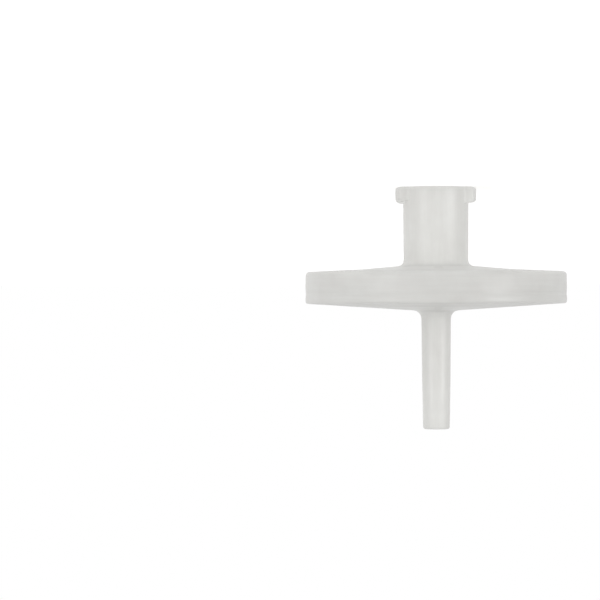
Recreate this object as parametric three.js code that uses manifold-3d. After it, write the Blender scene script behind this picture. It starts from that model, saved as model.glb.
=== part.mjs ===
// Syringe filter of the 25 mm class, in millimetres, with +Z along the flow from inlet to outlet.
//
// Two injection-moulded polypropylene halves are welded together round a filter membrane:
//   inlet_housing   luer-lock hub, shallow dome and the skirt that makes most of the rim
//   membrane        thin filter disc, pinched at its edge between clamp teeth and seat
//   outlet_housing  flange and spigot that plug the skirt, membrane support ribs and outlet stem
// The origin is the centre of the luer mouth, which is also the face that the filter stands on.

import * as THREE from "three";
import { mergeVertices } from "three/addons/utils/BufferGeometryUtils.js";
import Module from "manifold-3d";

const wasm = await Module();
wasm.setup();

// ---------- Driving dimensions, mm and degrees ----------

const BODY_DIAMETER = 25.2;

// Luer-lock hub: a 6 % female cone and two lugs that engage a right-hand thread
const HUB_LENGTH = 7.58; // mouth face to the foot of the dome
const HUB_DIAMETER = 6.32; // at the mouth
const HUB_DRAFT = 0.36;
const HUB_FILLET = 0.6;
const MOUTH_EDGE_RADIUS = 0.2;
const LUER_MOUTH_DIAMETER = 4.3;
const LUER_TAPER = 0.06; // loss of diameter per length
const LUER_FLOOR = 1.2; // thickness left between the socket and the inlet chamber
const ORIFICE_DIAMETER = 2.7; // through that floor
const LUG_SPAN = 7.8;
const LUG_WIDTH = 3.3;
const LUG_HEIGHT = 1.46; // at the middle of the lug
const LUG_LEAD = 2; // climb of the far face per turn
const LUG_EDGE_RADIUS = 0.3;

// Inlet dome: it flares out from the hub, then flattens towards the rim
const FLARE_DIAMETER = 14.4;
const FLARE_ANGLE = 4.9;
const DOME_ANGLE = 2.6;
const INLET_WALL = 1.15; // at the edge of the chamber
const INLET_EDGE_RADIUS = 0.35;

// Rim joint: the outlet half's spigot plugs the inlet half's skirt
const SKIRT_WALL = 1.05;
const SPIGOT_CLEARANCE = 0.05; // on the radius
const SPIGOT_LENGTH = 0.55;
const WELD_WIDTH = 1.85; // end face of the spigot
const SEAM_WIDTH = 0.22;
const SEAM_DEPTH = 0.05;
const FLANGE_THICKNESS = 0.85;

// Membrane, and the two clamp teeth that press it on its seat
const MEMBRANE_THICKNESS = 0.18;
const MEMBRANE_CLEARANCE = 0.05; // on the radius
const PINCH_WIDTH = 0.12; // edge of the membrane under the weld face
const TOOTH_WIDTH = 0.3;
const TOOTH_GAP = 0.34;
const TOOTH_HEIGHT = 0.14;

// Inlet chamber: sharp concentric ribs on a flat roof spread the flow
const INLET_DEPTH = 0.48;
const ROOF_RIB_PITCH = 0.61;
const ROOF_RIB_WIDTH = 0.34;
const ROOF_RIB_MARGIN = 0.92; // to the chamber's wall and to the orifice
const ROOF_RIB_CLEARANCE = 0.2; // under the membrane

// Outlet chamber: flat-topped ribs carry the membrane over a floor that falls to the stem
const DRAIN_DEPTH = 0.33; // at the edge of the chamber
const FLOOR_RIB_PITCH = 0.9;
const FLOOR_RIB_WIDTH = 0.36;
const FLOOR_RIB_MARGIN = 0.75;

// Eight radial channels through the ribs: wide ones on X and Y, narrow ones between
const MAIN_CHANNEL_WIDTH = 0.8;
const CROSS_CHANNEL_WIDTH = 0.5;
const CHANNEL_SINK = 0.04; // into the roof or floor

// Outlet dome and stem
const OUTLET_ANGLE = 3.7;
const OUTLET_EDGE_RADIUS = 0.22;
const STEM_LENGTH = 11.4; // foot of the dome to the tip
const STEM_NOSE_LENGTH = 4.6; // steeper taper at the tip
const STEM_ROOT_DIAMETER = 2.86;
const STEM_NOSE_DIAMETER = 2.73;
const STEM_TIP_DIAMETER = 2.57;
const STEM_FILLET = 0.75;
const STEM_TIP_RADIUS = 0.2;
const STEM_BORE_ROOT_DIAMETER = 1.3;
const STEM_BORE_TIP_DIAMETER = 1.5;

// Facets
const SEGMENTS = 48; // round the axis, a multiple of eight
const ARC_STEPS = 3; // along a rounded edge
const LUG_EMBED = 0.06; // root of a lug inside the hub's wall

// ---------- Derived places ----------

const tan = (degrees) => Math.tan(THREE.MathUtils.degToRad(degrees));

// Radii, from the rim inwards
const bodyRadius = BODY_DIAMETER / 2;
const seamRadius = bodyRadius - SEAM_DEPTH;
const skirtRadius = bodyRadius - SKIRT_WALL;
const spigotRadius = skirtRadius - SPIGOT_CLEARANCE;
const recessRadius = spigotRadius - WELD_WIDTH;
const membraneRadius = recessRadius - MEMBRANE_CLEARANCE;
const weldRadius = membraneRadius - PINCH_WIDTH;
const chamberRadius = weldRadius - 2 * (TOOTH_WIDTH + TOOTH_GAP);
const orificeRadius = ORIFICE_DIAMETER / 2;
const hubRadius = HUB_DIAMETER / 2;
const hubRootRadius = hubRadius - HUB_LENGTH * tan(HUB_DRAFT);
const flareRadius = FLARE_DIAMETER / 2;
const boreRootRadius = STEM_BORE_ROOT_DIAMETER / 2;

// Height of the inlet dome's outer face at a radius.
function domeHeight(radius) {
  const flare = Math.min(radius, flareRadius) - hubRootRadius;
  const rest = Math.max(radius - flareRadius, 0);
  return HUB_LENGTH + flare * tan(FLARE_ANGLE) + rest * tan(DOME_ANGLE);
}

// Heights, along the flow
const roofPlane = domeHeight(chamberRadius) + INLET_WALL;
const luerDepth = roofPlane - LUER_FLOOR;
const weldPlane = roofPlane + INLET_DEPTH; // also the membrane's upstream face
const reliefPlane = weldPlane - TOOTH_HEIGHT;
const seatPlane = weldPlane + MEMBRANE_THICKNESS;
const skirtEnd = weldPlane + SPIGOT_LENGTH;
const flangePlane = skirtEnd + SEAM_WIDTH;
const rimEnd = flangePlane + FLANGE_THICKNESS;

// Heights of the outlet dome's outer face and of the drain's floor at a radius.
const outletHeight = (radius) => rimEnd + (bodyRadius - radius) * tan(OUTLET_ANGLE);
const floorHeight = (radius) => seatPlane + DRAIN_DEPTH + (chamberRadius - radius) * tan(OUTLET_ANGLE);

const stemFoot = outletHeight(STEM_ROOT_DIAMETER / 2);
const tipHeight = stemFoot + STEM_LENGTH;

// ---------- Geometry helpers ----------

// Closed outline from corners [radius, height, rounding], each rounded corner drawn as an arc.
function outline(corners) {
  const at = corners.map(([radius, height]) => new THREE.Vector2(radius, height));
  const points = corners.flatMap(([, , rounding = 0], i) => {
    const corner = at[i];
    if (rounding === 0) {
      return [corner];
    }
    const back = at.at(i - 1).clone().sub(corner);
    const ahead = at[(i + 1) % at.length].clone().sub(corner);
    const half = back.angleTo(ahead) / 2;
    const reach = Math.min(rounding / Math.tan(half), back.length() / 2, ahead.length() / 2);
    back.setLength(reach);
    ahead.setLength(reach);
    const toCentre = back.clone().add(ahead).setLength(reach / Math.cos(half));
    const centre = corner.clone().add(toCentre);
    const start = back.sub(toCentre);
    const end = ahead.sub(toCentre);
    const turn = Math.sign(start.cross(end)) * (Math.PI - 2 * half);
    return Array.from({ length: ARC_STEPS + 1 }, (_, step) =>
      start.clone().rotateAround(new THREE.Vector2(), (turn * step) / ARC_STEPS).add(centre),
    );
  });
  return [...points, points[0].clone()];
}

// Ring about Z from corners that run anticlockwise in radius and height.
function revolve(corners) {
  return new THREE.LatheGeometry(outline(corners), SEGMENTS).rotateX(Math.PI / 2);
}

// manifold-3d solid of a closed three.js geometry.
function solidOf(geometry) {
  geometry.deleteAttribute("normal");
  geometry.deleteAttribute("uv");
  const merged = mergeVertices(geometry, 1e-5);
  return new wasm.Manifold(
    new wasm.Mesh({
      numProp: 3,
      vertProperties: merged.getAttribute("position").array,
      triVerts: new Uint32Array(merged.index.array),
    }),
  );
}

// three.js geometry of a manifold-3d solid, with each facet's own normal.
function geometryOf(solid) {
  const mesh = solid.getMesh();
  const shared = new THREE.BufferGeometry();
  shared.setAttribute("position", new THREE.BufferAttribute(mesh.vertProperties, 3));
  shared.setIndex(new THREE.BufferAttribute(mesh.triVerts, 1));
  const geometry = shared.toNonIndexed();
  geometry.computeVertexNormals();
  return geometry;
}

// Radii of evenly spaced ribs, from the outermost inwards.
function ribRadii(outermost, innermost, pitch) {
  const count = Math.floor((outermost - innermost) / pitch) + 1;
  return Array.from({ length: count }, (_, i) => outermost - i * pitch);
}

// Channels: four bars through the axis, inside a ring-shaped region.
function channels(region) {
  const { min, max } = region.boundingBox();
  const bars = [0, 1, 2, 3].map((quarter) => {
    const width = quarter % 2 === 0 ? MAIN_CHANNEL_WIDTH : CROSS_CHANNEL_WIDTH;
    const bar = new THREE.BoxGeometry(BODY_DIAMETER, width, 2 * (max[2] - min[2]));
    bar.rotateZ((quarter * Math.PI) / 4);
    bar.translate(0, 0, (min[2] + max[2]) / 2);
    return solidOf(bar);
  });
  return bars.reduce((star, bar) => star.add(bar)).intersect(region);
}

// ---------- Inlet half ----------

// Lug section swept round the hub, its far face climbing with the thread; a slab keeps two lugs.
function lugs() {
  const root = hubRootRadius - LUG_EMBED;
  const ring = revolve([
    [root, 0],
    [LUG_SPAN / 2, 0, LUG_EDGE_RADIUS],
    [LUG_SPAN / 2, LUG_HEIGHT, LUG_EDGE_RADIUS],
    [root, LUG_HEIGHT],
  ]);
  const position = ring.getAttribute("position");
  for (let i = 0; i < position.count; i++) {
    const angle = Math.atan2(position.getY(i), position.getX(i));
    const turns = Math.sin(2 * angle) / (4 * Math.PI); // from the middle of the nearer lug
    const share = position.getZ(i) / LUG_HEIGHT;
    position.setZ(i, position.getZ(i) + share * turns * LUG_LEAD);
  }
  const slab = new THREE.BoxGeometry(2 * LUG_SPAN, LUG_WIDTH, 2 * HUB_LENGTH);
  return solidOf(ring).intersect(solidOf(slab));
}

const roofRibs = ribRadii(
  chamberRadius - ROOF_RIB_MARGIN,
  orificeRadius + ROOF_RIB_MARGIN,
  ROOF_RIB_PITCH,
);

function inletHousing() {
  const half = ROOF_RIB_WIDTH / 2;
  const crest = weldPlane - ROOF_RIB_CLEARANCE;
  const tooth = (outer) => [
    [outer, reliefPlane],
    [outer - TOOTH_WIDTH / 2, weldPlane],
    [outer - TOOTH_WIDTH, reliefPlane],
  ];
  const shell = revolve([
    [LUER_MOUTH_DIAMETER / 2, 0, MOUTH_EDGE_RADIUS],
    [hubRadius, 0, MOUTH_EDGE_RADIUS],
    [hubRootRadius, HUB_LENGTH, HUB_FILLET],
    [flareRadius, domeHeight(flareRadius)],
    [bodyRadius, domeHeight(bodyRadius), INLET_EDGE_RADIUS],
    [bodyRadius, skirtEnd],
    [skirtRadius, skirtEnd],
    [skirtRadius, weldPlane],
    [weldRadius, weldPlane],
    [weldRadius, reliefPlane],
    ...tooth(weldRadius - TOOTH_GAP),
    ...tooth(chamberRadius + TOOTH_WIDTH),
    [chamberRadius, roofPlane],
    ...roofRibs.flatMap((radius) => [
      [radius + half, roofPlane],
      [radius, crest],
      [radius - half, roofPlane],
    ]),
    [orificeRadius, roofPlane],
    [orificeRadius, luerDepth],
    [(LUER_MOUTH_DIAMETER - luerDepth * LUER_TAPER) / 2, luerDepth],
  ]);
  const ribbed = revolve([
    [orificeRadius / 2, roofPlane - CHANNEL_SINK],
    [roofRibs[0] + ROOF_RIB_WIDTH, roofPlane - CHANNEL_SINK],
    [roofRibs[0] + ROOF_RIB_WIDTH, weldPlane],
    [orificeRadius / 2, weldPlane],
  ]);
  return solidOf(shell).add(lugs()).subtract(channels(solidOf(ribbed)));
}

// ---------- Outlet half ----------

const floorRibs = ribRadii(
  chamberRadius - FLOOR_RIB_MARGIN,
  boreRootRadius + FLOOR_RIB_MARGIN,
  FLOOR_RIB_PITCH,
);

function outletHousing() {
  const half = FLOOR_RIB_WIDTH / 2;
  const noseHeight = tipHeight - STEM_NOSE_LENGTH;
  const shell = revolve([
    [boreRootRadius, floorHeight(boreRootRadius)],
    ...floorRibs.toReversed().flatMap((radius) => [
      [radius - half, floorHeight(radius - half)],
      [radius - half, seatPlane],
      [radius + half, seatPlane],
      [radius + half, floorHeight(radius + half)],
    ]),
    [chamberRadius, floorHeight(chamberRadius)],
    [chamberRadius, seatPlane],
    [recessRadius, seatPlane],
    [recessRadius, weldPlane],
    [spigotRadius, weldPlane],
    [spigotRadius, skirtEnd],
    [seamRadius, skirtEnd],
    [seamRadius, flangePlane],
    [bodyRadius, flangePlane],
    [bodyRadius, rimEnd, OUTLET_EDGE_RADIUS],
    [STEM_ROOT_DIAMETER / 2, stemFoot, STEM_FILLET],
    [STEM_NOSE_DIAMETER / 2, noseHeight],
    [STEM_TIP_DIAMETER / 2, tipHeight, STEM_TIP_RADIUS],
    [STEM_BORE_TIP_DIAMETER / 2, tipHeight],
  ]);
  const outer = floorRibs[0] + FLOOR_RIB_WIDTH;
  const inner = boreRootRadius / 2;
  const ribbed = revolve([
    [inner, weldPlane],
    [outer, weldPlane],
    [outer, floorHeight(outer) + CHANNEL_SINK],
    [inner, floorHeight(inner) + CHANNEL_SINK],
  ]);
  return solidOf(shell).subtract(channels(solidOf(ribbed)));
}

// ---------- Membrane ----------

function membrane() {
  const disc = new THREE.CylinderGeometry(
    membraneRadius,
    membraneRadius,
    MEMBRANE_THICKNESS,
    SEGMENTS,
  );
  disc.rotateX(Math.PI / 2);
  disc.translate(0, 0, (weldPlane + seatPlane) / 2);
  return solidOf(disc);
}

// ---------- Assembly ----------

function piece(name, solid, look) {
  const mesh = new THREE.Mesh(geometryOf(solid), new THREE.MeshStandardMaterial(look));
  mesh.name = name;
  return mesh;
}

const polypropylene = { color: "#dcdcd6", roughness: 0.35, metalness: 0 };
const filterMembrane = { color: "#f0f0ec", roughness: 0.9, metalness: 0 };

const syringeFilter = new THREE.Group();
syringeFilter.name = "syringe_filter";
syringeFilter.add(piece("inlet_housing", inletHousing(), polypropylene));
syringeFilter.add(piece("membrane", membrane(), filterMembrane));
syringeFilter.add(piece("outlet_housing", outletHousing(), polypropylene));

export default syringeFilter;
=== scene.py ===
# %% [markdown]
# # A syringe filter
# A small disc with a luer-lock hub on its inlet side and a slim stem on its outlet side. Two halves
# of natural polypropylene are welded together round a filter membrane. Everything is round, so the
# whole filter comes from three outlines spun about the Z axis, and from what is then pressed into
# them or pared away: radial channels through the ribs inside, and two lugs on the hub.

import math

import bmesh
import bpy
import numpy as np
from mathutils import Matrix, Vector


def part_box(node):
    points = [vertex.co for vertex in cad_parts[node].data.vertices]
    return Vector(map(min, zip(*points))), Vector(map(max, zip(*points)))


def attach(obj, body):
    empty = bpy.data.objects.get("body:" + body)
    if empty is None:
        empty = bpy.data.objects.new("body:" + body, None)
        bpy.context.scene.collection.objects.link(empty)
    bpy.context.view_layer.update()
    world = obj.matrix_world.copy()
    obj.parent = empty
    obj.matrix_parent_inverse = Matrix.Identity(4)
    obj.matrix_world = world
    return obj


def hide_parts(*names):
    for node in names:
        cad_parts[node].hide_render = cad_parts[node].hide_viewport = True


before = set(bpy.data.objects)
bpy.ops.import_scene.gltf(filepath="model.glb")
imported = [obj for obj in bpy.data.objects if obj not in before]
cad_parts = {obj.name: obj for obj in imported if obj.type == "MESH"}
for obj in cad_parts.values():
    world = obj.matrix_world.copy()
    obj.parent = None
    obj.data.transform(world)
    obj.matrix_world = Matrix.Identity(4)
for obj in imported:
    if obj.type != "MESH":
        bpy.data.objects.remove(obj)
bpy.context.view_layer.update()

# %% [markdown]
# ## Sizes
# The frame says how large each moulding is and where it lies. The rest are the maker's sizes:
# walls, tapers and edge radii, in millimetres. Blender works in metres, so one factor turns them.

# %% Places taken from the frame, in millimetres
MM = 0.001


def node_box(name):
    """Lowest and highest corner of a CAD node, in millimetres."""
    return [[value / MM for value in corner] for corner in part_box(name)]


inlet_box = node_box("inlet_housing")
membrane_box = node_box("membrane")
outlet_box = node_box("outlet_housing")

body_radius = inlet_box[1][0]
skirt_end = inlet_box[1][2]
membrane_radius = membrane_box[1][0]
weld_plane = membrane_box[0][2]
seat_plane = membrane_box[1][2]
tip_height = outlet_box[1][2]
print("body", round(2 * body_radius, 2), "mm across,", round(tip_height, 2), "mm high")

# %% Sizes of the hub, in millimetres and degrees
HUB_LENGTH, HUB_DIAMETER, HUB_DRAFT, HUB_FILLET = 7.58, 6.32, 0.36, 0.6
LUER_MOUTH_DIAMETER, LUER_TAPER, LUER_FLOOR = 4.3, 0.06, 1.2
ORIFICE_DIAMETER = 2.7
MOUTH_EDGE = 0.2
LUG_SPAN, LUG_WIDTH, LUG_HEIGHT, LUG_LEAD = 7.8, 3.3, 1.46, 2.0
LUG_EDGE, LUG_FILLET = 0.3, 0.18

# %% Sizes of the disc-shaped body
FLARE_DIAMETER, FLARE_ANGLE, FLARE_BEND, DOME_ANGLE = 14.4, 4.9, 6.0, 2.6
INLET_DEPTH, INLET_EDGE = 0.48, 0.35
SKIRT_WALL, SPIGOT_CLEARANCE, WELD_WIDTH = 1.05, 0.05, 1.85
SEAM_WIDTH, SEAM_EDGE = 0.22, 0.005
FLANGE_THICKNESS = 0.85
OUTLET_ANGLE, OUTLET_EDGE = 3.7, 0.22
SKIRT_CROWN, FLANGE_CROWN = 0.03, 0.034  # how far the middle of each rim band stands out

# %% Sizes of the clamp teeth, the ribs and the channels
PINCH_WIDTH, TOOTH_WIDTH, TOOTH_GAP, TOOTH_HEIGHT = 0.12, 0.3, 0.34, 0.14
ROOF_RIB_PITCH, ROOF_RIB_WIDTH, ROOF_RIB_MARGIN, ROOF_RIB_CLEARANCE = 0.61, 0.34, 0.92, 0.2
FLOOR_RIB_PITCH, FLOOR_RIB_WIDTH, FLOOR_RIB_MARGIN, FLOOR_RIB_DRAFT = 0.9, 0.36, 0.75, 0.03
DRAIN_DEPTH = 0.33
RIB_EDGE = 0.04
MAIN_CHANNEL_WIDTH, CROSS_CHANNEL_WIDTH, CHANNEL_SINK = 0.8, 0.5, 0.04

# %% Sizes of the stem
STEM_NOSE_LENGTH = 4.6
STEM_ROOT_DIAMETER, STEM_NOSE_DIAMETER, STEM_TIP_DIAMETER = 2.86, 2.73, 2.57
STEM_FILLET, STEM_TIP_EDGE = 0.8, 0.2
STEM_BORE_ROOT_DIAMETER, STEM_BORE_TIP_DIAMETER, STEM_BORE_EDGE = 1.3, 1.5, 0.12


# %% Radii that follow from them
def slope(degrees):
    return math.tan(math.radians(degrees))


skirt_radius = body_radius - SKIRT_WALL
spigot_radius = skirt_radius - SPIGOT_CLEARANCE
recess_radius = spigot_radius - WELD_WIDTH
weld_radius = membrane_radius - PINCH_WIDTH
chamber_radius = weld_radius - 2 * (TOOTH_WIDTH + TOOTH_GAP)
seam_radius = body_radius - FLANGE_CROWN
orifice_radius = ORIFICE_DIAMETER / 2
bore_root_radius = STEM_BORE_ROOT_DIAMETER / 2
flare_radius = FLARE_DIAMETER / 2
lug_radius = LUG_SPAN / 2


def hub_radius(height):
    return HUB_DIAMETER / 2 - height * slope(HUB_DRAFT)


# %% Radii of the ribs and the clamp teeth, the outermost first
roof_ribs = np.arange(
    chamber_radius - ROOF_RIB_MARGIN, orifice_radius + ROOF_RIB_MARGIN, -ROOF_RIB_PITCH
)
floor_ribs = np.arange(
    chamber_radius - FLOOR_RIB_MARGIN, bore_root_radius + FLOOR_RIB_MARGIN, -FLOOR_RIB_PITCH
)
inner_tooth = chamber_radius + TOOTH_WIDTH / 2
clamp_teeth = np.array([inner_tooth + TOOTH_WIDTH + TOOTH_GAP, inner_tooth])
for label, radii in (("roof ribs", roof_ribs), ("floor ribs", floor_ribs), ("teeth", clamp_teeth)):
    print(label, "at", [round(float(rib), 2) for rib in radii])


# %% Heights that follow from them
flange_plane = skirt_end + SEAM_WIDTH
rim_end = flange_plane + FLANGE_THICKNESS
roof_plane = weld_plane - INLET_DEPTH
relief_plane = weld_plane - TOOTH_HEIGHT
luer_depth = roof_plane - LUER_FLOOR
nose_height = tip_height - STEM_NOSE_LENGTH


def dome_height(radius):
    """Height of the inlet dome's outer face."""
    flare = min(radius, flare_radius) - hub_radius(HUB_LENGTH)
    rest = max(radius - flare_radius, 0)
    return HUB_LENGTH + flare * slope(FLARE_ANGLE) + rest * slope(DOME_ANGLE)


def outlet_height(radius):
    """Height of the outlet dome's outer face."""
    return rim_end + (body_radius - radius) * slope(OUTLET_ANGLE)


def floor_height(radius):
    """Height of the outlet chamber's floor, which falls towards the stem."""
    return seat_plane + DRAIN_DEPTH + (chamber_radius - radius) * slope(OUTLET_ANGLE)


print("rim", round(rim_end - dome_height(body_radius), 2), "mm high")

# %% [markdown]
# ## A helper for node trees
# Shader trees and Geometry Nodes trees are built the same way, so one small function adds a node to
# either. An input is given by its name. A plain value is set, and a node or a socket is linked.


# %% Add a node
def add(tree, kind, inputs=None, **settings):
    node = tree.nodes.new(kind)
    for name, value in settings.items():
        setattr(node, name, value)
    for name, value in (inputs or {}).items():
        sockets = [s for s in node.inputs if s.enabled]
        if isinstance(name, int):
            socket = sockets[name]
        else:
            socket = next(s for s in sockets if s.name == name)
        if isinstance(value, bpy.types.Node):
            value = next(s for s in value.outputs if s.enabled)
        if isinstance(value, bpy.types.NodeSocket):
            tree.links.new(value, socket)
        else:
            socket.default_value = value
    return node


# %% [markdown]
# Four channels run out from the axis along X and Y, and four narrower ones between them. Their
# distance from a point is wanted twice, to press them into the ribs and to break the rings that the
# ribs show through the wall. The same few nodes work in both kinds of tree.


# %% Measure how far a point lies from the channels
def from_channels(tree, position):
    """Distance from the middle of the nearest main channel, and of the nearest cross channel."""
    where = add(tree, "ShaderNodeSeparateXYZ", {0: position}).outputs
    off_x = add(tree, "ShaderNodeMath", {0: where["X"]}, operation="ABSOLUTE")
    off_y = add(tree, "ShaderNodeMath", {0: where["Y"]}, operation="ABSOLUTE")
    main = add(tree, "ShaderNodeMath", {0: off_x, 1: off_y}, operation="MINIMUM")
    between = add(tree, "ShaderNodeMath", {0: off_x, 1: off_y}, operation="SUBTRACT")
    aside = add(tree, "ShaderNodeMath", {0: between}, operation="ABSOLUTE")
    cross = add(tree, "ShaderNodeMath", {0: aside, 1: math.sqrt(0.5)}, operation="MULTIPLY")
    return main, cross


# %% [markdown]
# ## Natural polypropylene, injection moulded
# The housing is uncoloured polypropylene. The resin is milky, because its crystals scatter light a
# short way under the skin, so a subsurface shader carries it. The mould's steel was turned on a
# lathe where it makes the disc, and stroked lengthways where it makes the hub and the stem. The
# skin keeps both sets of marks, and a fine satin grain between them.


# %% Turn an sRGB colour into the linear one that nodes expect
def linear(hex_colour):
    channels = [int(hex_colour[i : i + 2], 16) / 255 for i in (1, 3, 5)]
    lit = [c / 12.92 if c <= 0.04045 else ((c + 0.055) / 1.055) ** 2.4 for c in channels]
    return (*lit, 1.0)


# %% Start a material with its shader and object coordinates
def new_material(name, **inputs):
    material = bpy.data.materials.new(name)
    material.use_nodes = True
    tree = material.node_tree
    shader = tree.nodes["Principled BSDF"]
    for label, value in inputs.items():
        shader.inputs[label.replace("_", " ")].default_value = value
    place = add(tree, "ShaderNodeTexCoord").outputs["Object"]
    return material, tree, shader, place


# %% Start the natural polypropylene
RESIN_LIGHT, RESIN_DEEP = "#d7d7d4", "#cfcecb"

polypropylene, tree, shader, place = new_material(
    "natural_polypropylene",
    Subsurface_Weight=0.15,
    Subsurface_Scale=0.12 * MM,
    Subsurface_Radius=(1.0, 1.0, 0.98),
    IOR=1.49,
    Specular_IOR_Level=0.45,
)

# %% Let the melt cloud it
CLOUD_SIZE = 3.0  # mm, slow changes in the milkiness where the melt flowed

clouds = add(
    tree,
    "ShaderNodeTexNoise",
    {"Vector": place, "Scale": 1 / (CLOUD_SIZE * MM), "Detail": 3.0, "Roughness": 0.55},
)

# %% Draw the marks of the mould's steel
# Turning marks follow the radius and the height, draw marks the direction from the axis. Each fades
# out along its length, because its other coordinates count for little.
MARK_PITCH = 0.25  # mm
SMEAR = 0.04  # share of a turning mark's change that runs along its circle
CREEP = 30  # change of a draw mark along its length, per metre
HUB_MARKS_END, DISC_MARKS_START = 3.4, 4.0  # mm from the axis

flat = add(tree, "ShaderNodeVectorMath", {0: place, 1: (1, 1, 0)}, operation="MULTIPLY")
radius = add(tree, "ShaderNodeVectorMath", {0: flat}, operation="LENGTH").outputs["Value"]
outwards = add(tree, "ShaderNodeCombineXYZ", {"Z": radius})
ringed = add(tree, "ShaderNodeVectorMath", {0: place, 1: (SMEAR, SMEAR, 1)}, operation="MULTIPLY")
section = add(tree, "ShaderNodeVectorMath", {0: ringed, 1: outwards}, operation="ADD")
turned = add(
    tree,
    "ShaderNodeTexNoise",
    {"Vector": section, "Scale": 1 / (MARK_PITCH * MM), "Detail": 2.0},
)
around = add(tree, "ShaderNodeVectorMath", {0: flat}, operation="NORMALIZE")
slow = add(tree, "ShaderNodeVectorMath", {0: place, 1: (0, 0, CREEP)}, operation="MULTIPLY")
along = add(tree, "ShaderNodeVectorMath", {0: around, 1: slow}, operation="ADD")
drawn = add(
    tree,
    "ShaderNodeTexNoise",
    {"Vector": along, "Scale": HUB_DIAMETER / 2 / MARK_PITCH, "Detail": 2.0},
)
on_disc = add(
    tree,
    "ShaderNodeMapRange",
    {"Value": radius, "From Min": HUB_MARKS_END * MM, "From Max": DISC_MARKS_START * MM},
)
marks = add(
    tree, "ShaderNodeMix", {"Factor": on_disc, "A": drawn.outputs[0], "B": turned.outputs[0]}
)

# %% Colour it by clouds and marks together
MARKS_SHARE = 0.3
NOISE_LOW, NOISE_HIGH = 0.3, 0.7  # most of a noise texture's values lie between these

blend = add(tree, "ShaderNodeMix", {"Factor": MARKS_SHARE, "A": clouds.outputs[0], "B": marks})
tone = add(
    tree, "ShaderNodeMapRange", {"Value": blend, "From Min": NOISE_LOW, "From Max": NOISE_HIGH}
)
resin = add(
    tree,
    "ShaderNodeMix",
    {"Factor": tone, "A": linear(RESIN_LIGHT), "B": linear(RESIN_DEEP)},
    data_type="RGBA",
)

# %% [markdown]
# The housing is milky, not opaque: in front of a rib the wall looks paler than in front of the open
# chamber, so that the ribs and the clamp teeth show through as soft rings, broken by the channels.
# A shader that let light through two walls and a membrane would be slow and noisy. The tone is
# given by the rings' radii instead, which are the ribs' own.


# %% Find the rings in front of evenly spaced ribs
def rings(radii):
    """1 in front of a rib, falling to 0 halfway to the next."""
    number = add(
        tree,
        "ShaderNodeMapRange",
        {"Value": radius, "From Min": radii[1] * MM, "From Max": radii[0] * MM},
        clamp=False,
    )
    away = add(tree, "ShaderNodeMath", {0: number, 1: 0.5}, operation="PINGPONG")
    ring = add(
        tree,
        "ShaderNodeMapRange",
        {"Value": away, "From Max": 0.5, "To Min": 1.0, "To Max": 0.0},
        interpolation_type="SMOOTHSTEP",
    )
    middle, reach = (radii[0] + radii[-1]) / 2, (2 * radii[0] - radii[1] - radii[-1]) / 2
    centred = add(tree, "ShaderNodeMath", {0: radius, 1: middle * MM}, operation="SUBTRACT")
    distance = add(tree, "ShaderNodeMath", {0: centred}, operation="ABSOLUTE")
    within = add(tree, "ShaderNodeMath", {0: distance, 1: reach * MM}, operation="LESS_THAN")
    return add(tree, "ShaderNodeMath", {0: ring, 1: within}, operation="MULTIPLY")


# %% Break the rings at the channels
BREAK_BLUR = 0.1  # mm to each side of a channel's edge, because the wall blurs it

roof_rings = rings(roof_ribs[roof_ribs > HUB_DIAMETER / 2 + HUB_FILLET])
floor_rings = rings(floor_ribs[floor_ribs > STEM_ROOT_DIAMETER / 2 + STEM_FILLET])
for width, distance in zip((MAIN_CHANNEL_WIDTH, CROSS_CHANNEL_WIDTH), from_channels(tree, place)):
    nearest, furthest = width / 2 - BREAK_BLUR, width / 2 + BREAK_BLUR
    beside = add(
        tree,
        "ShaderNodeMapRange",
        {"Value": distance, "From Min": nearest * MM, "From Max": furthest * MM},
    )
    roof_rings = add(tree, "ShaderNodeMath", {0: roof_rings, 1: beside}, operation="MULTIPLY")
    floor_rings = add(tree, "ShaderNodeMath", {0: floor_rings, 1: beside}, operation="MULTIPLY")

# %% Turn the resin paler in front of them
RESIN_BACKED = "#e0e0dd"

inlet_rings = add(tree, "ShaderNodeMath", {0: roof_rings, 1: rings(clamp_teeth)}, operation="ADD")
height = add(tree, "ShaderNodeSeparateXYZ", {0: place}).outputs["Z"]
far_half = add(tree, "ShaderNodeMath", {0: height, 1: seat_plane * MM}, operation="GREATER_THAN")
behind = add(tree, "ShaderNodeMix", {"Factor": far_half, "A": inlet_rings, "B": floor_rings})
housing = add(
    tree,
    "ShaderNodeMix",
    {"Factor": behind, "A": resin.outputs[2], "B": linear(RESIN_BACKED)},
    data_type="RGBA",
)

# %% Paint light into the lugs' far faces
# The disc shades the lugs' far faces. Milky plastic as thin as a lug would carry light there from
# its lit sides, further than the weak subsurface shader does, so a paler tone is painted there
# instead: painted light. An attribute on the mesh says where.
RESIN_PAINTED_LIGHT = "#f2f2f0"

painted_lug_light = add(tree, "ShaderNodeAttribute", attribute_name="painted_lug_light").outputs["Fac"]
painted_lug_colour = add(
    tree,
    "ShaderNodeMix",
    {"Factor": painted_lug_light, "A": housing.outputs[2], "B": linear(RESIN_PAINTED_LIGHT)},
    data_type="RGBA",
)
tree.links.new(painted_lug_colour.outputs[2], shader.inputs["Base Color"])

# %% Give its skin a satin finish
SKIN_GRAIN = 0.22  # mm; polishing leaves about 0.03 mm, drawn coarser so that it shows
DRAWN_ROUGHNESS, TURNED_ROUGHNESS, RIM_ROUGHNESS = 0.33, 0.45, 0.36
ROUGHNESS_SWING = 0.03  # from the clearest patch to the milkiest
MARK_DEPTH, GRAIN_DEPTH = 0.003, 0.004  # mm

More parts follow.
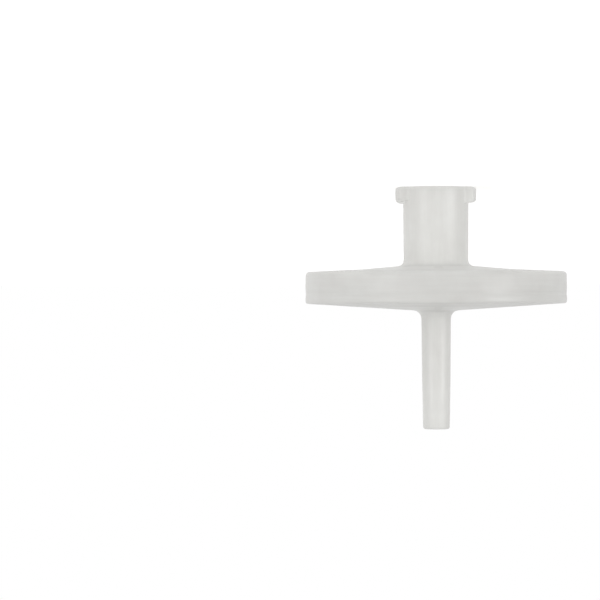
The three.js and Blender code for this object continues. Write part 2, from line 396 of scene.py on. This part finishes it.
grain = add(
    tree,
    "ShaderNodeTexNoise",
    {"Vector": place, "Scale": 1 / (SKIN_GRAIN * MM), "Detail": 4.0, "Roughness": 0.6},
)
on_rim = add(
    tree,
    "ShaderNodeMapRange",
    {
        "Value": radius,
        "From Min": (body_radius - INLET_EDGE) * MM,
        "From Max": (body_radius - SKIRT_CROWN) * MM,
    },
)
faces = add(
    tree,
    "ShaderNodeMapRange",
    {"Value": on_disc, "To Min": DRAWN_ROUGHNESS, "To Max": TURNED_ROUGHNESS},
)
roughness = add(tree, "ShaderNodeMix", {"Factor": on_rim, "A": faces, "B": RIM_ROUGHNESS})
duller = add(tree, "ShaderNodeMath", {0: roughness, 1: ROUGHNESS_SWING}, operation="ADD")
gloss = add(
    tree,
    "ShaderNodeMapRange",
    {
        "Value": blend,
        "From Min": NOISE_LOW,
        "From Max": NOISE_HIGH,
        "To Min": roughness,
        "To Max": duller,
    },
)
tooled = add(
    tree, "ShaderNodeBump", {"Height": marks, "Strength": 0.15, "Distance": MARK_DEPTH * MM}
)
skin = add(
    tree,
    "ShaderNodeBump",
    {"Height": grain, "Normal": tooled, "Strength": 0.25, "Distance": GRAIN_DEPTH * MM},
)
tree.links.new(gloss.outputs["Result"], shader.inputs["Roughness"])
tree.links.new(skin.outputs["Normal"], shader.inputs["Normal"])
print(polypropylene.name, "has", len(tree.nodes), "nodes")

# %% [markdown]
# ## Filter membrane
# The membrane is taken to be a cast polymer film, white because its pores scatter all light. Such
# pores are a micrometre wide or less, far too small to see, so what shows is a matt, slightly
# mottled sheet, drawn here with cells of a tenth of a millimetre.

# %% Cast the membrane
PORE_CLUSTER, PORE_DEPTH = 0.1, 0.01  # mm

film, tree, shader, place = new_material(
    "cast_porous_film", Roughness=0.9, Subsurface_Weight=0.4, Subsurface_Scale=0.15 * MM
)
cells = add(tree, "ShaderNodeTexVoronoi", {"Vector": place, "Scale": 1 / (PORE_CLUSTER * MM)})
mottle = add(
    tree,
    "ShaderNodeMix",
    {"Factor": cells, "A": linear("#eeeeea"), "B": linear("#f8f8f5")},
    data_type="RGBA",
)
pores = add(
    tree, "ShaderNodeBump", {"Height": cells, "Strength": 0.4, "Distance": PORE_DEPTH * MM}
)
tree.links.new(mottle.outputs[2], shader.inputs["Base Color"])
tree.links.new(pores.outputs["Normal"], shader.inputs["Normal"])
print(film.name, "has", len(tree.nodes), "nodes")

# %% [markdown]
# ## From an outline to a moulding
# A turned shape is drawn as half of its section. Each corner of the outline carries its own
# rounding, as on a workshop drawing. A Geometry Nodes tree draws the arcs, spins the outline round
# the axis, and then presses the channels in: near any of eight radial lines, a point that belongs
# to a rib drops to its foot, the channel's floor. A Screw modifier would do for the spinning alone,
# but then the arcs and the channels would each need another tool.


# %% Describe a corner, in millimetres
def corner(radius, height, rounding=0.0, foot=0.0):
    """The foot is the height of the channel's floor below a rib; 0 stands for no channel."""
    return {"at": (radius * MM, height * MM, 0), "rounding": rounding * MM, "foot": foot * MM}


# %% Draw an outline that carries each corner's rounding and foot
def draw_outline(name, corners):
    mesh = bpy.data.meshes.new(name)
    sides = [(i, (i + 1) % len(corners)) for i in range(len(corners))]
    if corners[0]["at"][0] == corners[-1]["at"][0] == 0:
        sides.pop()  # a disc's outline ends at the axis, and the spun pole closes it
    mesh.from_pydata([c["at"] for c in corners], sides, [])
    for label in ("rounding", "foot"):
        values = mesh.attributes.new(label, "FLOAT", "POINT")
        values.data.foreach_set("value", [c[label] for c in corners])
    outline = bpy.data.objects.new(name, mesh)
    bpy.context.scene.collection.objects.link(outline)
    return outline


# %% Start the tree with its named inputs
SEGMENTS, ARC_STEPS = 360, 4
CHANNEL_WALL = 0.12  # mm, width of the slope at a channel's side

spin = bpy.data.node_groups.new("spin_an_outline", "GeometryNodeTree")
spin.interface.new_socket("Geometry", in_out="INPUT", socket_type="NodeSocketGeometry")
spin.interface.new_socket("Geometry", in_out="OUTPUT", socket_type="NodeSocketGeometry")
for label, kind, value in (
    ("Segments", "NodeSocketInt", SEGMENTS),
    ("Arc steps", "NodeSocketInt", ARC_STEPS),
    ("Ring radius", "NodeSocketFloat", body_radius * MM),
    ("Main channel", "NodeSocketFloat", MAIN_CHANNEL_WIDTH * MM),
    ("Cross channel", "NodeSocketFloat", CROSS_CHANNEL_WIDTH * MM),
    ("Channel wall", "NodeSocketFloat", CHANNEL_WALL * MM),
):
    spin.interface.new_socket(label, in_out="INPUT", socket_type=kind).default_value = value
spin.interface.new_socket("Material", in_out="INPUT", socket_type="NodeSocketMaterial")
given = add(spin, "NodeGroupInput").outputs

# %% Round the corners
line = add(spin, "GeometryNodeMeshToCurve", {"Mesh": given["Geometry"]})
rounding = add(spin, "GeometryNodeInputNamedAttribute", {"Name": "rounding"}, data_type="FLOAT")
rounded = add(
    spin,
    "GeometryNodeFilletCurve",
    {
        "Curve": line,
        "Count": given["Arc steps"],
        "Radius": rounding,
        "Limit Radius": True,
    },
    mode="POLY",
)

# %% Spin the outline round the axis
# The outline is drawn from the axis, and a ring of the body's radius carries it, so it moves
# inwards by that radius. The ring turns it upside down, which the scale of -1 undoes, and that
# leaves the faces inside out, so they are flipped.
inwards = add(spin, "ShaderNodeMath", {0: given["Ring radius"], 1: -1.0}, operation="MULTIPLY")
offset = add(spin, "ShaderNodeCombineXYZ", {"X": inwards})
profile = add(
    spin,
    "GeometryNodeTransform",
    {"Geometry": rounded, "Translation": offset, "Scale": (1.0, -1.0, 1.0)},
)
ring = add(
    spin,
    "GeometryNodeCurvePrimitiveCircle",
    {"Resolution": given["Segments"], "Radius": given["Ring radius"]},
    mode="RADIUS",
)
upright = add(spin, "GeometryNodeSetCurveNormal", {"Curve": ring}, mode="Z_UP")
swept = add(spin, "GeometryNodeCurveToMesh", {"Curve": upright, "Profile Curve": profile})
outward = add(spin, "GeometryNodeFlipFaces", {"Mesh": swept})

# %% Find how deep each point lies inside a channel
position = add(spin, "GeometryNodeInputPosition")
inside = []
for width, distance in zip(("Main channel", "Cross channel"), from_channels(spin, position)):
    half = add(spin, "ShaderNodeMath", {0: given[width], 1: 0.5}, operation="MULTIPLY")
    inside.append(add(spin, "ShaderNodeMath", {0: half, 1: distance}, operation="SUBTRACT"))
deepest = add(spin, "ShaderNodeMath", {0: inside[0], 1: inside[1]}, operation="MAXIMUM")
steps = add(spin, "ShaderNodeMath", {0: deepest, 1: given["Channel wall"]}, operation="DIVIDE")
share = add(spin, "ShaderNodeMath", {0: steps, 1: 0.5}, operation="ADD", use_clamp=True)

# %% Drop the ribs' points to the channel's floor
foot = add(spin, "GeometryNodeInputNamedAttribute", {"Name": "foot"}, data_type="FLOAT")
has_foot = add(spin, "FunctionNodeCompare", {0: foot, 1: 0.0}, operation="GREATER_THAN")
height = add(spin, "ShaderNodeSeparateXYZ", {0: position}).outputs["Z"]
fall = add(spin, "ShaderNodeMath", {0: foot, 1: height}, operation="SUBTRACT")
drop = add(spin, "ShaderNodeMath", {0: fall, 1: share}, operation="MULTIPLY")
down = add(spin, "ShaderNodeCombineXYZ", {"Z": drop})
pressed = add(
    spin, "GeometryNodeSetPosition", {"Geometry": outward, "Selection": has_foot, "Offset": down}
)

# %% Close the pole of a disc, and end with plain geometry and its material
MERGE_DISTANCE = 0.0005  # mm

welded = add(
    spin, "GeometryNodeMergeByDistance", {"Geometry": pressed, "Distance": MERGE_DISTANCE * MM}
)
solid = add(spin, "GeometryNodeRealizeInstances", {"Geometry": welded})
finished = add(
    spin, "GeometryNodeSetMaterial", {"Geometry": solid, "Material": given["Material"]}
)
add(spin, "NodeGroupOutput", {"Geometry": finished})
print("spin_an_outline:", len(spin.nodes), "nodes")


# %% Spin an outline into a plain mesh
def spun(name, corners, material):
    outline = draw_outline(name + "_outline", corners)
    modifier = outline.modifiers.new("spin", "NODES")
    modifier.node_group = spin
    socket = next(item for item in spin.interface.items_tree if item.name == "Material")
    modifier[socket.identifier] = material
    evaluated = outline.evaluated_get(bpy.context.evaluated_depsgraph_get())
    mesh = bpy.data.meshes.new_from_object(evaluated)
    bpy.data.objects.remove(outline)
    mesh.name = name
    for label in ("rounding", "foot"):
        mesh.attributes.remove(mesh.attributes[label])
    piece = bpy.data.objects.new(name, mesh)
    bpy.context.scene.collection.objects.link(piece)
    return piece


# %% Smooth a piece's faces up to an angle, and measure it
CREASE = 35  # degrees


def finish_piece(piece):
    mesh = piece.data
    mesh.shade_smooth()
    mesh.set_sharp_from_angle(angle=math.radians(CREASE))
    solid = bmesh.new()
    solid.from_mesh(mesh)
    open_edges = sum(len(edge.link_faces) != 2 for edge in solid.edges)
    triangles = sum(len(face.verts) - 2 for face in solid.faces)
    volume = solid.calc_volume(signed=True) / MM**3
    solid.free()
    print(f"{piece.name}: {triangles} triangles, {open_edges} open edges, {volume:.1f} mm3")


# %% [markdown]
# ## Inlet half
# The inlet half holds the luer-lock hub, the shallow dome and the skirt that makes most of the rim.
# It would be moulded with the luer cone on a core pin. The outline starts at the cone's mouth and
# runs out along the hub and the dome, round the rim, and back over the clamp teeth and the ribs
# that spread the flow. At the mouth it takes in the section of the lugs, which at first run all the
# way round as a collar. The rim's band is a touch crowned, as a moulded band is after it shrinks.

# %% Draw a band of the rim, its middle standing out
BAND_POINTS = 11
CLEAR = 1.1  # a rounding cuts into the band by its own radius, and the points keep further away


def crowned_band(start, end, crown, first_edge, last_edge):
    """The points between the two edges keep clear of the edges' roundings."""
    first, last = start + CLEAR * first_edge, end - CLEAR * last_edge
    quarter = math.pi / 2
    steps = np.sin(np.linspace(-quarter, quarter, BAND_POINTS))  # closer together near the edges
    heights = (first + last) / 2 + (last - first) / 2 * steps
    radii = body_radius - crown * ((2 * heights - start - end) / (end - start)) ** 2
    band = [corner(r, h) for r, h in zip(radii, heights)]
    if first_edge:
        band.insert(0, corner(body_radius - crown, start, first_edge))
    if last_edge:
        band.append(corner(body_radius - crown, end, last_edge))
    return band


# %% Draw the two clamp teeth and the ribs of the inlet chamber
def tooth(middle):
    return [
        corner(middle + TOOTH_WIDTH / 2, relief_plane, RIB_EDGE),
        corner(middle, weld_plane),
        corner(middle - TOOTH_WIDTH / 2, relief_plane, RIB_EDGE),
    ]


CHANNEL_END = 0.02  # mm, within which a channel stops beyond the outermost rib

roof_channel = roof_plane - CHANNEL_SINK
roof = [corner(roof_ribs[0] + ROOF_RIB_WIDTH + CHANNEL_END, roof_plane)]
roof.append(corner(roof_ribs[0] + ROOF_RIB_WIDTH, roof_plane, 0, roof_channel))
for rib in roof_ribs:
    roof += [
        corner(rib + ROOF_RIB_WIDTH / 2, roof_plane, RIB_EDGE, roof_channel),
        corner(rib, weld_plane - ROOF_RIB_CLEARANCE, RIB_EDGE, roof_channel),
        corner(rib - ROOF_RIB_WIDTH / 2, roof_plane, RIB_EDGE, roof_channel),
    ]
print("inlet chamber:", len(roof_ribs), "ribs")

# %% Draw the inlet half's outline and spin it
rim_start = dome_height(body_radius - SKIRT_CROWN)
inlet_half = spun(
    "inlet_half",
    [
        corner(LUER_MOUTH_DIAMETER / 2, 0, MOUTH_EDGE),
        corner(lug_radius, 0, LUG_EDGE),
        corner(lug_radius, LUG_HEIGHT, LUG_EDGE),
        corner(hub_radius(LUG_HEIGHT), LUG_HEIGHT, LUG_FILLET),
        corner(hub_radius(HUB_LENGTH), HUB_LENGTH, HUB_FILLET),
        corner(flare_radius, dome_height(flare_radius), FLARE_BEND),
        *crowned_band(rim_start, skirt_end, SKIRT_CROWN, INLET_EDGE, SEAM_EDGE),
        corner(skirt_radius, skirt_end),
        corner(skirt_radius, weld_plane),
        corner(weld_radius, weld_plane),
        corner(weld_radius, relief_plane),
        *tooth(clamp_teeth[0]),
        *tooth(clamp_teeth[1]),
        corner(chamber_radius, roof_plane, 2 * RIB_EDGE),
        *roof,
        corner(orifice_radius, roof_plane, 0, roof_channel),
        corner(orifice_radius, luer_depth, RIB_EDGE),
        corner((LUER_MOUTH_DIAMETER - luer_depth * LUER_TAPER) / 2, luer_depth, RIB_EDGE),
    ],
    polypropylene,
)

# %% [markdown]
# ## Two lugs out of a collar
# A luer lock's two lugs slide under the thread of a syringe, so their far faces lean with it a
# little. A collar pared down by a formula keeps the roundings on every edge, which a boolean cut
# would lose. Between two planes 3.3 mm apart the collar stays. Outside them it shrinks onto the
# hub, and the points that meet there are merged.


# %% Smaller or larger of two values, with a rounded change from one to the other
def soft_least(a, b, width):
    share = np.clip(0.5 + 0.5 * (b - a) / width, 0, 1)
    return b + (a - b) * share - width * share * (1 - share)


# %% Radius of the bare hub, with its rounded mouth
def bare_hub(height):
    lift = np.clip(MOUTH_EDGE - height, 0, MOUTH_EDGE)
    return hub_radius(height) - MOUTH_EDGE + np.sqrt(MOUTH_EDGE**2 - lift**2)


# %% Pare the collar
SOCKET_CLEAR = 2.9  # mm, a radius between the socket's wall and the hub's
LUG_CORNER, LUG_ROOT = 0.4, 0.3  # mm, how soft a lug's corners and its two roots are
# The glow is painted light on the lugs' far faces
GLOW_REACH = 0.85  # share of the fillet over which the paler tone fades out


def pare_collar(mesh):
    points = np.empty(3 * len(mesh.vertices))
    mesh.vertices.foreach_get("co", points)
    x, y, height = points.reshape(-1, 3).T / MM
    radius, angle = np.hypot(x, y), np.arctan2(y, x)
    collar = (height < LUG_HEIGHT + 2 * LUG_FILLET) & (radius > SOCKET_CLEAR)
    climb = LUG_LEAD * np.sin(2 * angle) / (4 * math.pi)
    raised = height + np.clip(height / LUG_HEIGHT, 0, 1) * climb
    hub = bare_hub(raised)
    plane = LUG_WIDTH / 2 / np.maximum(np.abs(np.sin(angle)), 1e-6)  # never divides by zero
    reach = soft_least(plane, np.full_like(plane, lug_radius), LUG_CORNER)
    reach = -soft_least(-reach, -hub, LUG_ROOT)
    weight = np.clip((reach - hub) / (lug_radius - hub), 0, 1)
    share = (radius - bare_hub(height)) / (lug_radius - bare_hub(height))
    pared = hub + share * (lug_radius - hub) * weight
    new_radius = np.where(collar, pared, radius)
    new_height = np.where(collar, raised, height)
    moved = np.stack([new_radius * np.cos(angle), new_radius * np.sin(angle), new_height], axis=1)
    mesh.vertices.foreach_set("co", (moved * MM).ravel())
    # Painted light: the lugs' far faces get a paler tone, fading out up the fillet
    rise = np.clip((height - LUG_HEIGHT + LUG_EDGE / 2) / LUG_FILLET, 0, 1)
    fade = np.clip(1 - (height - LUG_HEIGHT) / (GLOW_REACH * LUG_FILLET), 0, 1)
    painted_lug_light = mesh.attributes.new("painted_lug_light", "FLOAT", "POINT")
    painted_lug_light.data.foreach_set("value", np.where(collar, rise * fade * weight, 0))
    print("collar:", int(collar.sum()), "points pared")


pare_collar(inlet_half.data)

# %% Merge the points that met on the hub
solid = bmesh.new()
solid.from_mesh(inlet_half.data)
bmesh.ops.remove_doubles(solid, verts=solid.verts, dist=MERGE_DISTANCE * MM)
solid.to_mesh(inlet_half.data)
solid.free()
finish_piece(inlet_half)

# %% [markdown]
# ## Outlet half
# The outlet half is a flange with a spigot that plugs the skirt, the flat-topped ribs that carry
# the membrane, and the stem. Its chamber's floor falls towards the bore so that the filter drains.
# The narrow strip that it leaves bare at the skirt's end, a hair's breadth further in than the
# skirt, is the seam of the weld.

# %% Draw the ribs of the outlet chamber, from the bore outwards
half_crest, half_foot = FLOOR_RIB_WIDTH / 2 - FLOOR_RIB_DRAFT, FLOOR_RIB_WIDTH / 2
drain = []
for rib in floor_ribs[::-1]:
    for radius, height in (
        (rib - half_foot, floor_height(rib - half_foot)),
        (rib - half_crest, seat_plane),
        (rib + half_crest, seat_plane),
        (rib + half_foot, floor_height(rib + half_foot)),
    ):
        drain.append(corner(radius, height, RIB_EDGE, floor_height(radius) + CHANNEL_SINK))
print("outlet chamber:", len(floor_ribs), "ribs")

# %% Draw the outlet half's outline and spin it
NOSE_BEND = 10 * STEM_NOSE_DIAMETER  # so wide that the change of taper has no edge

outer = floor_ribs[0] + FLOOR_RIB_WIDTH
outlet_half = spun(
    "outlet_half",
    [
        corner(bore_root_radius, floor_height(bore_root_radius), STEM_BORE_EDGE),
        *drain,
        corner(outer, floor_height(outer), 0, floor_height(outer) + CHANNEL_SINK),
        corner(outer + CHANNEL_END, floor_height(outer + CHANNEL_END)),
        corner(chamber_radius, floor_height(chamber_radius), 2 * RIB_EDGE),
        corner(chamber_radius, seat_plane, RIB_EDGE),
        corner(recess_radius, seat_plane),
        corner(recess_radius, weld_plane),
        corner(spigot_radius, weld_plane),
        corner(spigot_radius, skirt_end),
        corner(seam_radius, skirt_end),
        *crowned_band(flange_plane, outlet_height(seam_radius), FLANGE_CROWN, 0, OUTLET_EDGE),
        corner(STEM_ROOT_DIAMETER / 2, outlet_height(STEM_ROOT_DIAMETER / 2), STEM_FILLET),
        corner(STEM_NOSE_DIAMETER / 2, nose_height, NOSE_BEND),
        corner(STEM_TIP_DIAMETER / 2, tip_height, STEM_TIP_EDGE),
        corner(STEM_BORE_TIP_DIAMETER / 2, tip_height, STEM_BORE_EDGE),
    ],
    polypropylene,
)
finish_piece(outlet_half)

# %% [markdown]
# ## Membrane
# A disc punched from a sheet, 0.18 mm thick. Its outline touches the axis, so the spun points meet
# in a pole at the centre, which the tree's merge closes.

# %% Spin the membrane
filter_disc = spun(
    "filter_disc",
    [
        corner(0, weld_plane),
        corner(weld_radius - TOOTH_GAP, weld_plane),
        corner(membrane_radius, weld_plane),
        corner(membrane_radius, seat_plane),
        corner(weld_radius - TOOTH_GAP, seat_plane),
        corner(0, seat_plane),
    ],
    film,
)
finish_piece(filter_disc)

# %% [markdown]
# ## Put the pieces on the frame
# Each piece rides on the filter's one body, and stands for the CAD node that it was drawn after.

# %% Tie each piece to its body, and hide the CAD node that it stands for
for piece, node, slot in (
    (inlet_half, "inlet_housing", "housing"),
    (outlet_half, "outlet_housing", "housing"),
    (filter_disc, "membrane", "membrane"),
):
    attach(piece, "root")
    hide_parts(node)
    print(piece.name, "stands for", node)

# %% [markdown]
# ## Floor
# The filter stands on its mouth, on matt white card. The card glows a little where it is looked at,
# so that it comes out white like the backdrop, but it sheds none of that light, and it still takes
# the filter's shadow. From below it is clear, so that the hub and the inlet dome can be seen from
# there too, and it keeps no light of the table from them.

# %% Lay the card
FLOOR_SIZE = 4.0  # metres
CARD_GLOW = 0.4
FIBRE_LENGTH = 0.4  # mm

card, tree, shader, place = new_material("matt_card", Roughness=0.9)
fibres = add(
    tree, "ShaderNodeTexNoise", {"Vector": place, "Scale": 1 / (FIBRE_LENGTH * MM), "Detail": 3.0}
)
paper = add(
    tree,
    "ShaderNodeMix",
    {"Factor": fibres, "A": linear("#f4f4f2"), "B": linear("#fbfbfa")},
    data_type="RGBA",
)
tree.links.new(paper.outputs[2], shader.inputs["Base Color"])
ray = add(tree, "ShaderNodeLightPath").outputs
either = {0: ray["Is Camera Ray"], 1: ray["Is Glossy Ray"]}
mirrored = add(tree, "ShaderNodeMath", either, operation="MAXIMUM")
either = {0: mirrored, 1: ray["Is Transmission Ray"]}
seen = add(tree, "ShaderNodeMath", either, operation="MAXIMUM")
glow = add(tree, "ShaderNodeMath", {0: seen, 1: CARD_GLOW}, operation="MULTIPLY")
shader.inputs["Emission Color"].default_value = (1, 1, 1, 1)
tree.links.new(glow.outputs[0], shader.inputs["Emission Strength"])

# %% Let the card be seen from above only
backs = add(tree, "ShaderNodeNewGeometry").outputs["Backfacing"]
clear = add(tree, "ShaderNodeBsdfTransparent")
sides = add(tree, "ShaderNodeMixShader", {0: backs, 1: shader, 2: clear})
tree.links.new(sides.outputs[0], tree.nodes["Material Output"].inputs["Surface"])

# %% Cut the card
mesh = bpy.data.meshes.new("card")
half = FLOOR_SIZE / 2
corners = [(-half, -half, 0), (half, -half, 0), (half, half, 0), (-half, half, 0)]
mesh.from_pydata(corners, [], [(0, 1, 2, 3)])
mesh.materials.append(card)
floor = bpy.data.objects.new("card", mesh)
bpy.context.scene.collection.objects.link(floor)
floor.visible_diffuse = floor.visible_glossy = floor.visible_shadow = False
print("card:", FLOOR_SIZE, "m wide")

# %% [markdown]
# ## Light
# The room lights the filter evenly from all round, a little less from the right, and a bright table
# top adds light from straight below. The backdrop is white to the camera and nearly so to
# reflections, and duller as a source of light, so the lamps still model the form. Two wide, low
# soft boxes draw the highlights on the rim, and four spots bring out the hub and the stem.

# %% Light the room and the table
ROOM_LIGHT, TABLE_LIGHT, RIGHT_LOSS = 0.77, 1.07, 0.155
TABLE_EDGE = -0.3  # Z of a direction, from which the table's light grows downwards

world = bpy.data.worlds.new("studio")
bpy.context.scene.world = world
world.use_nodes = True
tree = world.node_tree
backdrop = tree.nodes["Background"]
direction = add(tree, "ShaderNodeTexCoord").outputs["Generated"]
towards = add(tree, "ShaderNodeSeparateXYZ", {0: direction}).outputs
room = add(
    tree,
    "ShaderNodeMapRange",
    {
        "Value": towards["Z"],
        "From Min": TABLE_EDGE,
        "From Max": -1.0,
        "To Min": ROOM_LIGHT,
        "To Max": TABLE_LIGHT,
    },
)
right = add(
    tree,
    "ShaderNodeMapRange",
    {"Value": towards["X"], "From Min": 0.0, "From Max": -1.0, "To Max": RIGHT_LOSS},
)

# %% Show a white backdrop to the camera and to reflections
ray = add(tree, "ShaderNodeLightPath").outputs
either = {0: ray["Is Glossy Ray"], 1: ray["Is Transmission Ray"]}
mirrored = add(tree, "ShaderNodeMath", either, operation="MAXIMUM")
level = add(tree, "ShaderNodeMapRange", {"Value": mirrored, "To Min": room, "To Max": 1.0})
dulled = add(tree, "ShaderNodeMath", {0: level, 1: right}, operation="SUBTRACT")
strength = add(
    tree, "ShaderNodeMapRange", {"Value": ray["Is Camera Ray"], "To Min": dulled, "To Max": 1.0}
)
backdrop.inputs["Color"].default_value = (1, 1, 1, 1)
tree.links.new(strength.outputs["Result"], backdrop.inputs["Strength"])
print(world.name, "has", len(tree.nodes), "nodes")


# %% Find a place round the filter, and the turn that faces it
LAMP_DISTANCE = 300  # mm from the axis


def facing(azimuth, elevation, height):
    turn, rise = math.radians(azimuth), math.radians(elevation)
    level = Vector((math.sin(turn), -math.cos(turn), 0))
    away = level * math.cos(rise) + Vector((0, 0, math.sin(rise)))
    place = Vector((0, 0, height)) * MM + away * LAMP_DISTANCE * MM
    return Matrix.Translation(place) @ away.to_track_quat("Z", "Y").to_matrix().to_4x4()


# %% Stand a low soft box at an angle from the camera's side
BOX_HEIGHT, BOX_AIM = 40, 11  # mm
BOX_ELEVATION = 2  # degrees


def soft_box(name, azimuth, width, watts):
    lamp = bpy.data.lights.new(name, "AREA")
    lamp.shape = "RECTANGLE"
    lamp.size, lamp.size_y, lamp.energy = width * MM, BOX_HEIGHT * MM, watts
    box = bpy.data.objects.new(name, lamp)
    bpy.context.scene.collection.objects.link(box)
    box.matrix_world = facing(azimuth, BOX_ELEVATION, BOX_AIM)
    box.visible_camera = False
    print(f"{name}: {watts} W at {azimuth} degrees")


soft_box("left_strip", 46, 140, 0.134)
soft_box("right_strip", -53, 150, 0.174)


# %% Aim a spot whose grid keeps its light off the rim
SPOT_RADIUS = 1.5  # mm
SPOT_BLEND = 0.3  # share of the cone that fades out


def gridded_spot(name, azimuth, height, radius, watts):
    lamp = bpy.data.lights.new(name, "SPOT")
    lamp.energy, lamp.shadow_soft_size = watts, SPOT_RADIUS * MM
    lamp.spot_size, lamp.spot_blend = 2 * math.atan(radius / LAMP_DISTANCE), SPOT_BLEND
    spot = bpy.data.objects.new(name, lamp)
    bpy.context.scene.collection.objects.link(spot)
    spot.matrix_world = facing(azimuth, 0, height)
    spot.visible_camera = spot.visible_glossy = False
    print(f"{name}: {watts} W at {azimuth} degrees")


gridded_spot("left_hub_spot", 43, 4.2, 5.0, 0.42)
gridded_spot("right_hub_spot", -47, 4.2, 5.0, 0.39)
gridded_spot("left_stem_spot", 38, 18.3, 6.2, 0.375)
gridded_spot("right_stem_spot", -44, 18.3, 6.2, 0.48)

# %% [markdown]
# ## Camera
# A long lens from the side, level with the rim. It is turned over, so that the hub points up in the
# picture, although the filter stands on it. The filter keeps to one side.

# %% Place the camera
DISTANCE = 310.0  # mm
PICTURE_WIDTH = 57.9  # mm, at the filter's axis
EYE_HEIGHT, EYE_SIDE = 10.86, 13.13  # mm
SENSOR = 36.0  # mm
ROLL = -0.18  # degrees
CLIP_START, CLIP_END = 0.01, 100.0  # metres

camera_data = bpy.data.cameras.new("camera")
camera_data.sensor_width = SENSOR
camera_data.lens = SENSOR * DISTANCE / PICTURE_WIDTH
camera_data.clip_start, camera_data.clip_end = CLIP_START, CLIP_END
camera = bpy.data.objects.new("camera", camera_data)
bpy.context.scene.collection.objects.link(camera)
turned_over = Matrix(((-1, 0, 0), (0, 0, -1), (0, -1, 0))).to_4x4()
eye = Matrix.Translation(Vector((EYE_SIDE, -DISTANCE, EYE_HEIGHT)) * MM)
camera.matrix_world = eye @ turned_over @ Matrix.Rotation(math.radians(ROLL), 4, "Z")
bpy.context.scene.camera = camera
bpy.context.scene.view_settings.view_transform = "Standard"
print("lens", round(camera_data.lens, 1), "mm")
